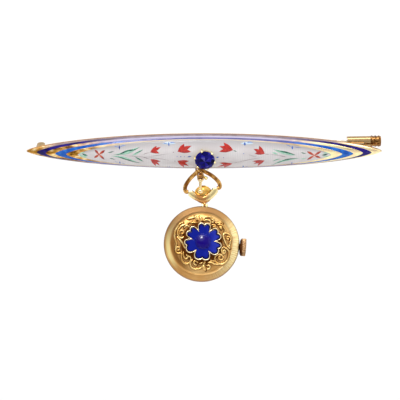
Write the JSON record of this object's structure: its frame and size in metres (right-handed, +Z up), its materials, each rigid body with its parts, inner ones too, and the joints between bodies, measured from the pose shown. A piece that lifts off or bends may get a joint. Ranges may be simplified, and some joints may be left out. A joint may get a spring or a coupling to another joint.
{
  "type": "chatelaine watch pin",
  "caption": "Navette bar brooch in painted enamel with a set stone; a snap hook carries a small round watch whose gold back has scrolls and an enamelled flower.",
  "frame": {"origin": "middle of the pin stem, where it passes through the cloth, behind the bar", "axes": "+Z up, the enamelled front faces -Y, +X to the viewer's right along the bar"},
  "size_m": [0.0819, 0.0086, 0.0342],
  "materials": {
    "gold": "polished",
    "pale_gold": "polished",
    "case_gold": "brushed",
    "crown_gold": "satin",
    "pin_metal": "polished",
    "white_enamel": "gloss",
    "blue_enamel": "gloss",
    "navy_enamel": "gloss",
    "flower_enamel": "gloss",
    "sapphire": "polished",
    "watch_glass": "clear",
    "dial_white": "satin",
    "dial_print": "satin",
    "hand_blue": "polished"
  },
  "bodies": {
    "bar": {"bar_dome": "gold", "rim_border": "gold", "outer_wire": "gold", "inner_wire": "gold", "navy_enamel": "navy_enamel", "blue_enamel": "blue_enamel", "white_enamel": "white_enamel", "bar_back": "pale_gold", "stone_setting": "pale_gold", "sapphire": "sapphire"},
    "pin": {"pin_stem": "pin_metal"},
    "catch": {"catch_sleeve": "gold"},
    "lever": {"hook_lever": "gold"},
    "bow": {"bow": "gold", "cradle": "pale_gold", "button": "pale_gold"},
    "watch": {"case_middle": "case_gold", "case_back": "case_gold", "filigree": "gold", "flower_rim": "pale_gold", "flower_enamel": "flower_enamel", "bezel": "case_gold", "crystal": "watch_glass", "dial": "dial_white", "dial_markers": "dial_print", "hour_hand": "hand_blue", "minute_hand": "hand_blue"},
    "crown": {"crown": "crown_gold"}
  },
  "joints": [
    {"name": "pin_hinge", "type": "hinge", "parent": "bar", "child": "pin", "pos_m": [-0.0378, -0.00014, -0.00066], "axis": [0, -0.5, 0.866], "range_deg": [0, 60]},
    {"name": "catch_turn", "type": "hinge", "parent": "bar", "child": "catch", "pos_m": [0.0332, 0.00012, 0.00058], "axis": [0.9998, 0.0037, 0.0176], "range_deg": [0, 180]},
    {"name": "hook_lever_turn", "type": "hinge", "parent": "bar", "child": "lever", "pos_m": [-0.00085, -0.0025, -0.00754], "axis": [-1, 0, 0], "range_deg": [0, 30]},
    {"name": "bow_swing", "type": "hinge", "parent": "bar", "child": "bow", "pos_m": [-0.00085, -0.0012, -0.00632], "axis": [0.9925, 0, 0.1219], "range_deg": [-2, 60]},
    {"name": "watch_swing", "type": "hinge", "parent": "bow", "child": "watch", "pos_m": [0.00011, -0.0012, -0.01416], "axis": [0.9969, 0, -0.0785], "range_deg": [-35, 35]},
    {"name": "crown_wind", "type": "hinge", "parent": "watch", "child": "crown", "pos_m": [-0.0006, -0.0012, -0.02317], "axis": [0.9969, 0, -0.0785], "continuous": true}
  ]
}
